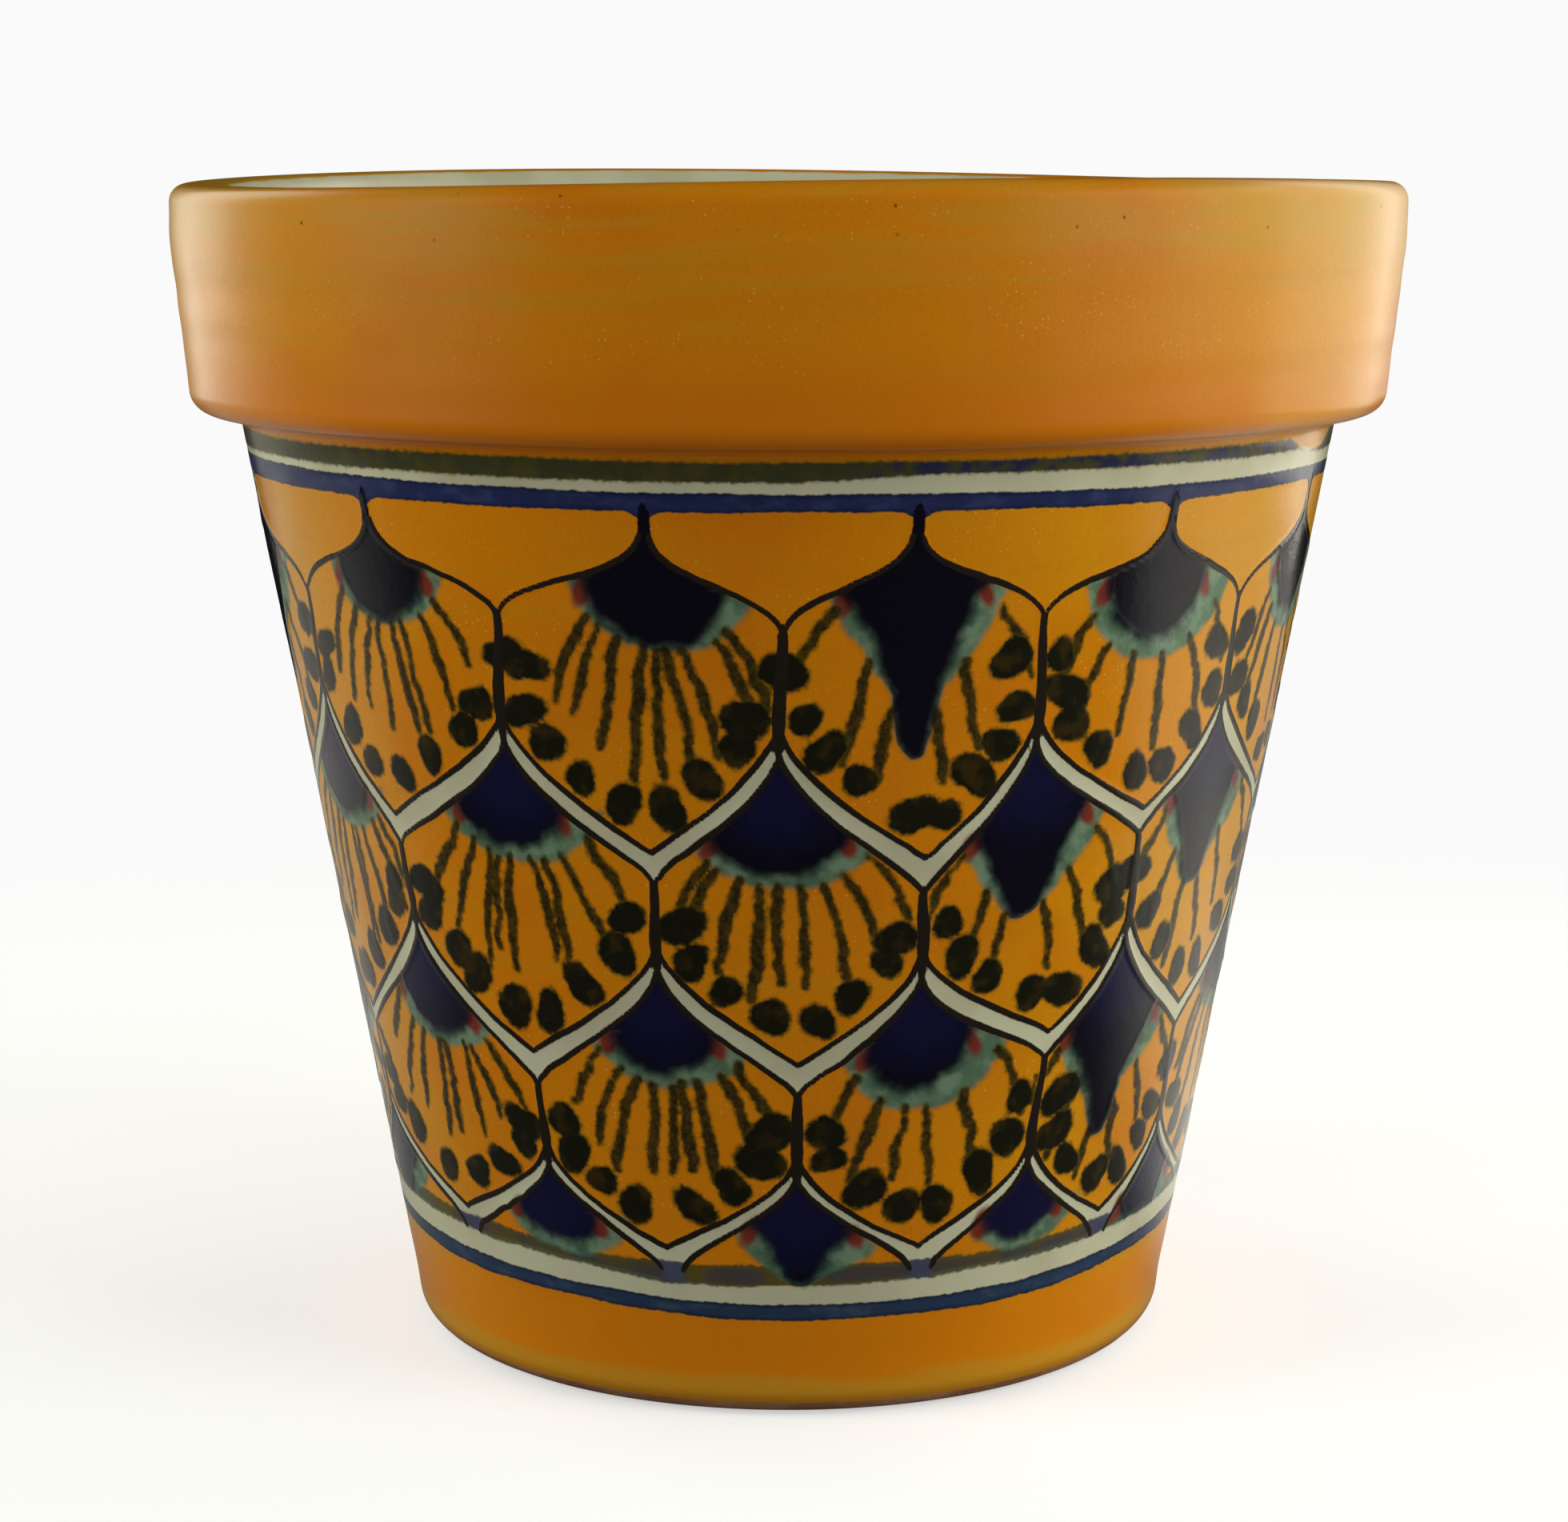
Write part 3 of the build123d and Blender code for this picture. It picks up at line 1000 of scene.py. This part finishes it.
def orange_ground(graph):
    """Brushed orange glaze, painted lighter and yellower towards the sides as painted side light: faint
    streaks round the pot, cloudy patches, sandy grain and speckle.
    """
    streaks = graph.noise(50, 4, (1, 1, 12))
    cloud = graph.noise(38, 3)
    grain = graph.noise(0.55, 3, rough=0.7)
    drifts = graph.ramp(graph.noise(22, 2, (1, 1, 3)), 0.46, 0.60)
    # painted light: yellower towards the sides, where the side lamps fall
    colour = graph.mix(graph.ramp(graph.field("side_light_and_tone"), 0.1, 0.9, 0.0, 0.9), ORANGE, SIDE_LIT_YELLOW)
    colour = graph.mix(graph.ramp(streaks, 0.48, 0.72, 0.0, 0.4), colour, OCHRE)
    colour = graph.mix(graph.ramp(cloud, 0.48, 0.7, 0.0, 0.5), colour, DEEP_ORANGE)
    colour = graph.tint(graph.ramp(grain, 0.4, 0.75, 0.0, 0.45), colour, GRAIN_TINT)
    colour = graph.mix(graph.times(graph.spots(1.2, 0.26, 0.45, 0.55), drifts), colour, SAND)
    return graph.mix(graph.spots(14, 0.3, 0.2, 0.6), colour, IRON_SPECK)


def cream_ground(graph):
    """Tin-white glaze gone a little grey and cream."""
    colour = graph.mix(graph.ramp(graph.noise(25, 3), 0.4, 0.7), CREAM, CREAM_WORN)
    return graph.mix(graph.spots(9, 0.25, 0.3, 0.5), colour, CREAM_SPECK)


def glaze_surface(graph):
    """Orange-peel height and slightly uneven gloss."""
    peel = graph.sum("MULTIPLY_ADD", graph.noise(0.7, 1), 0.3, graph.noise(2.6, 2))
    return peel, graph.ramp(graph.noise(18, 3), 0.3, 0.7, 0.20, 0.27)


def lip_material():
    """Glaze of the rim and the inside: orange over the lip, cream below it inside."""
    graph = new_graph("rim_and_inside_glaze")
    height, side_light_and_tone = graph.field("height"), graph.field("side_light_and_tone")
    orange = orange_ground(graph)
    # painted shade: deeper orange low on the rim, most at the front and back
    low = graph.ramp(height, RIM_BOTTOM + 22, RIM_BOTTOM + 4, 0.0, 0.75)
    front_shade = graph.ramp(side_light_and_tone, 0.9, 0.2, 0.35, 1.0)
    orange = graph.mix(graph.times(low, front_shade), orange, DEEP_ORANGE)
    # painted shade on the rim's underside, over its pooled glaze
    orange = graph.tint(graph.ramp(height, RIM_BOTTOM + 3, RIM_BOTTOM - 1, 0.0, 0.15), orange, POOLED_AND_SHADED_RIM)
    thin = graph.ramp(height, HEIGHT - 28, HEIGHT - 4)
    # khaki where the glaze thins by the lip, in brushed streaks, and more towards the sides as painted sheen
    brushed_and_side_lit = graph.ramp(graph.noise(34, 4, (1, 1, 10)), 0.38, 0.62, 0.0, 0.35)
    brushed_and_side_lit = graph.sum("MULTIPLY_ADD", side_light_and_tone, 0.45, brushed_and_side_lit)
    orange = graph.mix(graph.times(thin, brushed_and_side_lit), orange, KHAKI)
    near_lip = graph.ramp(height, HEIGHT - 12, HEIGHT - 7)
    orange = graph.mix(graph.times(graph.spots(4.5, 0.5, 0.4, 0.8), near_lip), orange, PIN_HOLE)
    colour = graph.mix(graph.cover("lip", 0.35, graph.noise(7, 3), 0.7), orange, cream_ground(graph))
    peel, gloss = glaze_surface(graph)
    return graph.finish(colour, graph.sum("ADD", gloss, 0.08), peel, PEEL_DEPTH, coat_roughness=0.24)


def shaded_ground(graph):
    """The orange ground below the rim: darker under it with painted shade, bright by the foot, thin and khaki
    at the edge, and darker at the very bottom with painted shade.
    """
    height = graph.field("height")
    orange = orange_ground(graph)
    # painted shade on the wall just under the rim, over pooled glaze
    orange = graph.tint(graph.ramp(height, RIM_BOTTOM - 6, RIM_BOTTOM - 1, 0.0, 0.25), orange, POOLED_AND_SHADED_WALL)
    orange = graph.mix(graph.ramp(height, FOOT_TOP + 2, FOOT_TOP - 4, 0.0, 0.6), orange, BRIGHT_ORANGE)
    thin_edge = graph.sum("MULTIPLY_ADD", graph.noise(30, 2, (1, 1, 4)), 5.0, height)
    orange = graph.mix(graph.ramp(thin_edge, 12.5, 9.5, 0.0, 0.75), orange, FOOT_KHAKI)
    # painted shade on the foot's underside by the floor, over pooled glaze
    return graph.tint(graph.ramp(height, 6, 3, 0.0, 0.4), orange, POOLED_AND_SHADED_FOOT)


def painted_bands(graph, colour, gap, cream, ragged, bleed):
    """The bands above and below the scales, laid over the ground."""
    for name in ("stripe_top", "stripe_low"):
        colour = graph.mix(graph.cover(name, 0.15, ragged, 0.25), colour, cream)
    thinned = graph.ramp(graph.noise(6, 3, (1, 1, 2)), 0.45, 0.75, 0.0, 0.6)
    blue = graph.mix(thinned, BAND_BLUE, BAND_PALE)
    for name, paint in (("blue_top", blue), ("blue_low", graph.mix(thinned, LOW_BLUE, LOW_PALE))):
        edged = graph.mix(graph.ramp(graph.field(name), -1.0, -0.1, 0.0, 0.7), paint, BAND_EDGE)
        colour = graph.mix(graph.cover(name, 0.2, ragged, 0.35), colour, edged)
    over_yellow = graph.mix(graph.ramp(bleed, 0.35, 0.6, 0.0, 0.5), OLIVE, OLIVE_BLACK)
    over_blue = graph.mix(graph.ramp(bleed, 0.4, 0.6), OLIVE_BLUE, OLIVE)
    dark = graph.mix(graph.field("bluing"), over_yellow, over_blue)
    colour = graph.mix(graph.cover("dark", 0.5, ragged, 0.7, 0.8), colour, YELLOW_FRINGE)
    colour = graph.mix(graph.cover("dark", 0.3, ragged, 0.4, inset=0.15), colour, dark)
    stained = graph.ramp(graph.noise(12, 2), 0.36, 0.56, 0.2, 0.95)
    stained = graph.times(stained, graph.ramp(graph.field("wash"), -1.3, -0.3, 1.0, 0.35))
    wash = graph.mix(gap, graph.mix(stained, OLIVE_WASH, BLUE_WASH), blue)
    return graph.mix(graph.cover("wash", 0.35, ragged, 0.6, 0.92), colour, wash)


def painted_material():
    """The painted outside below the rim, laid down in the painter's order."""
    graph = new_graph("painted_glaze")
    ragged, frayed, bleed = graph.noise(1.3, 2), graph.noise(0.7, 2), graph.noise(4.5, 3)
    cream = cream_ground(graph)
    gap = graph.cover("gap", 0.12, ragged, 0.12)
    colour = graph.mix(gap, shaded_ground(graph), cream)
    colour = painted_bands(graph, colour, gap, cream, ragged, bleed)

    teal = graph.mix(graph.ramp(bleed, 0.4, 0.65), TEAL, TEAL_PALE)
    colour = graph.tint(graph.cover("teal", 1.3, bleed, 1.2, 0.55), colour, TEAL_TINT)
    colour = graph.mix(graph.cover("teal", 0.8, bleed, 0.9, 0.92), colour, teal)
    colour = graph.mix(graph.cover("fleck", 0.7, bleed, 0.7), colour, RED)

    dry = graph.noise(1.6, 3, rough=0.6)
    grains = graph.noise(1.5, 3, rough=0.7)
    ray_core = graph.ramp(grains, 0.38, 0.66, 0.9, 0.6)
    dot_core = graph.ramp(bleed, 0.48, 0.7, 1.0, 0.85)
    for name, patchy in (("ray", ray_core), ("dot", dot_core)):
        colour = graph.mix(graph.cover(name, 0.5, dry, 0.8, 0.85), colour, DOT_STAIN)
        core = graph.cover(name, 0.35, dry, 0.8, inset=0.35)
        colour = graph.mix(graph.times(core, patchy), colour, DOT_INK)

    in_teal = graph.cover("teal", 0.4)
    colour = graph.mix(graph.times(graph.cover("heart", 2.6, bleed, 2.0, 0.85), in_teal), colour, WET_EDGE)
    cobalt = graph.mix(graph.cover("apex", 6.0, bleed, 2.5, 0.9), NAVY, COBALT)
    crisp = graph.cover("heart", 0.18, ragged, 0.3)
    softer = graph.sum("SUBTRACT", graph.cover("heart", 1.5, bleed, 1.2), crisp)
    colour = graph.mix(graph.sum("MULTIPLY_ADD", softer, in_teal, crisp), colour, cobalt)
    line = graph.cover("line", 0.13, frayed, 0.12)
    peel, gloss = glaze_surface(graph)
    inked = graph.sum("MAXIMUM", line, graph.cover("heart", 0.3))
    gloss = graph.sum("MULTIPLY_ADD", inked, -0.08, gloss)
    return graph.finish(graph.mix(line, colour, INK), gloss, peel, PEEL_DEPTH)


def clay_material():
    """Bare fired earthenware, matt and gritty."""
    graph = new_graph("terracotta")
    cloud = graph.noise(14, 4)
    colour = graph.mix(graph.ramp(cloud, 0.35, 0.65), CLAY, CLAY_PALE)
    colour = graph.mix(graph.spots(3.5, 0.35, 0.3, 0.6), colour, CLAY_SPECK)
    grit = graph.sum("ADD", graph.noise(1.2, 3), graph.noise(6, 2, (1, 1, 4)))
    return graph.finish(colour, graph.ramp(cloud, 0.3, 0.7, 0.75, 0.9), grit, GRIT_DEPTH, coat=0.0)


PEEL_DEPTH, GRIT_DEPTH = 0.05, 0.25     # mm of fine relief on the glaze and on the clay
LIP_GLAZE = lip_material()
PAINTED = painted_material()
TERRACOTTA = clay_material()

# ---------------------------------------------------------------- pieces

LIP_KEYS = ("lip", "height", "side_light_and_tone")
PAINT_KEYS = tuple(key for key in FIELDS if key != "lip")
STANDS_FOR = {
    "inside_low": ("inside_glaze",),
    "inside_high": ("inside_glaze",),
    "rim": ("rim_glaze",),
    "field_high": ("upper_dark_band", "upper_white_stripe", "upper_cobalt_band", "painted_field"),
    "field_middle": ("painted_field",),
    "field_low": ("painted_field", "lower_blue_wash", "lower_white_stripe", "lower_cobalt_band",
                  "foot_glaze"),
}


def lay_skin():
    """Every tile of the glaze, standing for the CAD coats it shows."""
    first_row = 0
    for name, _, _, row_count, sectors in BANDS:
        across = COLUMNS // sectors
        family = name.split("_")[0]
        painted = family == "field"
        for sector in range(sectors):
            piece = tile(f"{name}_{sector + 1:02d}", first_row, row_count, sector * across, across,
                         PAINTED if painted else LIP_GLAZE, PAINT_KEYS if painted else LIP_KEYS)
            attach(piece, "root")
            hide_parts(*STANDS_FOR[name])
        first_row += row_count


CLAY_COLUMNS = 256
CLAY_STEP = 12                          # one of the skin's rows in so many is kept on the clay's long walls,
COLLAR_STEP = 4                         # one in so many on the collar
CREST_STEP = 6                          # and one in so many on the crest
CORNER_HEIGHT = 14                      # every row is kept this far above the inside floor
SHARP_EDGE = 35                         # degrees


def ring(name, section, node):
    """A closed ring of clay from a closed (radius, height) section, warped with the lip."""
    turn = np.radians(np.linspace(-180, 180, CLAY_COLUMNS, endpoint=False))
    warp = lip_warp()[::COLUMNS // CLAY_COLUMNS]
    radius, height = section[:, 0][:, None], section[:, 1][:, None]
    height = height + warp[None, :] * smooth(height, RIM_BOTTOM + 4, HEIGHT - 6)
    points = np.stack([radius * np.sin(turn), -radius * np.cos(turn), height], axis=-1).reshape(-1, 3)
    count = len(section)
    index = np.arange(count * CLAY_COLUMNS).reshape(count, CLAY_COLUMNS)
    below, beside = np.roll(index, -1, axis=0), np.roll(index, -1, axis=1)
    faces = np.stack([index, below, np.roll(below, -1, axis=1), beside], axis=-1).reshape(-1, 4).tolist()
    piece = add_mesh(name, points, faces, TERRACOTTA)
    piece.data.set_sharp_from_angle(angle=math.radians(SHARP_EDGE))
    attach(piece, "root")
    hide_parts(node)


def lay_clay():
    """The clay under the glaze: the wall and the collar round its top."""
    radius = row_radius - row_normal[:, 0] * CLAY_DEPTH
    height = row_height - row_normal[:, 1] * CLAY_DEPTH
    skin = np.stack([radius, height], axis=1)
    wall_outside = outer_radius(skin[:, 1]) - CLAY_DEPTH
    outside = np.arange(ROWS) > np.argmax(row_height)
    on_collar = outside & (skin[:, 0] > wall_outside + 0.05) & (skin[:, 1] > RIM_BOTTOM - 4)
    collar = skin[on_collar][::COLLAR_STEP]
    top, bottom = collar[0], collar[-1]
    low = np.array([outer_radius(bottom[1]) - CLAY_DEPTH, bottom[1]])
    high = np.array([outer_radius(top[1]) - CLAY_DEPTH, top[1]])
    ring("collar_clay", np.vstack([high, collar, low]), "rim_collar")
    inner = skin[~outside & (skin[:, 1] > SLAB_TOP + 0.1)]
    in_corner = inner[:, 1] < FLOOR + CORNER_HEIGHT
    inner = np.vstack([inner[in_corner], inner[~in_corner][::CLAY_STEP]])
    crest = skin[outside & (skin[:, 1] > top[1])][::CREST_STEP]
    outer = skin[outside & (skin[:, 1] < bottom[1]) & (skin[:, 1] > SLAB_TOP)][::CLAY_STEP]
    edge = np.array([[outer_radius(SLAB_TOP) - CLAY_DEPTH, SLAB_TOP]])
    inner_foot = np.array([[inner[0][0] - 0.3, SLAB_TOP]])
    ring("wall_clay", np.vstack([inner_foot, inner, crest, [high], [low], outer, edge]), "wall")


lay_skin()
lay_clay()
slab = frame["nodes"]["base_slab"]
slab.data.materials.clear()
slab.data.materials.append(TERRACOTTA)

# ---------------------------------------------------------------- camera, light and floor

CAMERA_DISTANCE = 0.750
CAMERA_HEIGHT = 0.2434
CAMERA_DIP = 7.97                       # degrees below level
CAMERA_LENS = 82.35                     # mm on a 36 mm wide sensor
CAMERA_SHIFT = (-0.0027, -0.0648)


def aim(thing, target):
    """Turn a camera or light to look at a point."""
    thing.rotation_euler = (Vector(target) - thing.location).to_track_quat("-Z", "Y").to_euler()


def add_camera():
    """The camera, level with the rim's top and looking a little down."""
    data = bpy.data.cameras.new("camera")
    data.sensor_width = 36.0
    data.lens = CAMERA_LENS
    data.shift_x, data.shift_y = CAMERA_SHIFT
    camera = bpy.data.objects.new("camera", data)
    camera.location = (0, -CAMERA_DISTANCE, CAMERA_HEIGHT)
    camera.rotation_euler = (math.radians(90 - CAMERA_DIP), 0, 0)
    show(camera)
    bpy.context.scene.camera = camera


def softbox(name, bearing, distance, low, high, width, radiance, mirrored, colour):
    """An upright soft light facing the pot, at a bearing in degrees from the camera's side; metres."""
    data = bpy.data.lights.new(name, "AREA")
    data.shape = "RECTANGLE"
    data.size, data.size_y = width, high - low
    data.energy = math.pi * width * (high - low) * radiance
    data.color = colour
    light = bpy.data.objects.new(name, data)
    turn = math.radians(bearing)
    light.location = (distance * math.sin(turn), -distance * math.cos(turn), (low + high) / 2)
    light.visible_glossy = mirrored
    show(light)
    aim(light, (0, 0, (low + high) / 2))


def add_world(seen, felt):
    """A plain pale backdrop for the camera; even room light that the glaze does not mirror."""
    bpy.context.scene.world = bpy.data.worlds.new("studio")
    graph = Graph(bpy.context.scene.world, "Background")
    ray = graph.add("ShaderNodeLightPath").outputs
    strength = graph.sum("MULTIPLY_ADD", ray["Is Diffuse Ray"], felt, graph.times(ray["Is Camera Ray"], seen))
    graph.fill(graph.shader, {"Color": WHITE, "Strength": strength})


WHITE = (1.0, 1.0, 1.0)
BLACK = (0.0, 0.0, 0.0)
WARM = (1.0, 0.96, 0.85)                # the light that the glaze mirrors
COOL = (0.98, 1.04, 0.95)               # the side fills, which it does not mirror
FLOOR_HALF = 700.0                      # mm, half the floor's width
FLOOR_FADE = (0.22, 0.6)                # metres from the pot's axis
FLOOR_GLOW = 0.52                       # what the camera sees of the floor's own light
FLOOR_BRIGHT = (0.8, 0.8, 0.8)
FLOOR_BOUNCE = (0.31, 0.31, 0.31)       # what the floor throws back on the pot
RIGHT_EDGE_TURN = math.radians(68)      # the floor's right part is mirrored past a line turned so far


def add_floor():
    """A pale floor that fades into the backdrop away from the pot; the glaze mirrors only its far side."""
    graph = new_graph("floor")
    ray = graph.add("ShaderNodeLightPath").outputs
    glossy = ray["Is Glossy Ray"]
    spread = graph.add("ShaderNodeVectorMath", {0: graph.place()}, operation="LENGTH").outputs["Value"]
    axis = graph.add("ShaderNodeSeparateXYZ", {0: graph.place()}).outputs
    far_side = graph.ramp(axis["Y"], -0.12, 0.15, 0.0, 0.35)
    past_edge = graph.sum("MULTIPLY_ADD", axis["X"], math.cos(RIGHT_EDGE_TURN),
                          graph.times(axis["Y"], math.sin(RIGHT_EDGE_TURN)))
    right_side = graph.times(graph.ramp(past_edge, 0.0, 0.12, 0.0, 0.8), graph.ramp(axis["Y"], 0.35, 0.1))
    mirrored = graph.times(glossy, graph.sum("MAXIMUM", far_side, right_side))
    shown = graph.times(ray["Is Camera Ray"], FLOOR_GLOW)
    pale = graph.mix(ray["Is Diffuse Ray"], FLOOR_BRIGHT, FLOOR_BOUNCE)
    graph.fill(graph.shader, {
        "Base Color": graph.mix(glossy, pale, BLACK), "Roughness": 0.9, "Specular IOR Level": 0.0,
        "Emission Color": graph.mix(glossy, WHITE, WARM),
        "Emission Strength": graph.sum("ADD", shown, mirrored)})
    fade = graph.times(graph.ramp(spread, *FLOOR_FADE), graph.sum("SUBTRACT", 1.0, glossy))
    clear = graph.add("ShaderNodeBsdfTransparent").outputs[0]
    mixed = graph.add("ShaderNodeMixShader", {0: fade, 1: graph.shader.outputs[0], 2: clear}).outputs[0]
    graph.fill(graph.tree.nodes["Material Output"], {"Surface": mixed})
    corners = [(x * FLOOR_HALF, y * FLOOR_HALF, 0) for x, y in ((-1, -1), (1, -1), (1, 1), (-1, 1))]
    add_mesh("floor", corners, [(0, 1, 2, 3)], graph.owner)


# name, bearing, distance, bottom, top, width, radiance, whether the glaze mirrors it, colour
SOFTBOXES = [
    ("left_strip", -128, 0.8, 0.1, 0.9, 0.42, 1.35, True, WARM),
    ("left_wall", -122, 0.85, 0.0, 0.9, 0.75, 0.35, True, WARM),
    ("right_strip", 140, 0.8, 0.12, 0.9, 0.4, 0.65, True, WARM),
    ("right_softbox", 118, 0.85, 0.0, 0.9, 0.75, 1.38, True, WARM),
    ("right_wall", 84, 0.9, 0.0, 0.9, 0.5, 0.75, True, WARM),
    ("left_fill", -69, 1.0, 0.0, 1.0, 0.6, 3.15, False, COOL),
    ("right_fill", 61, 1.0, 0.0, 1.0, 0.6, 3.5, False, COOL),
    ("high_fill", 20, 0.9, 0.8, 1.4, 0.8, 0.12, False, WHITE),
]
add_camera()
add_world(0.956, 0.10)
add_floor()
for light in SOFTBOXES:
    softbox(*light)
bpy.context.scene.view_settings.view_transform = "Standard"
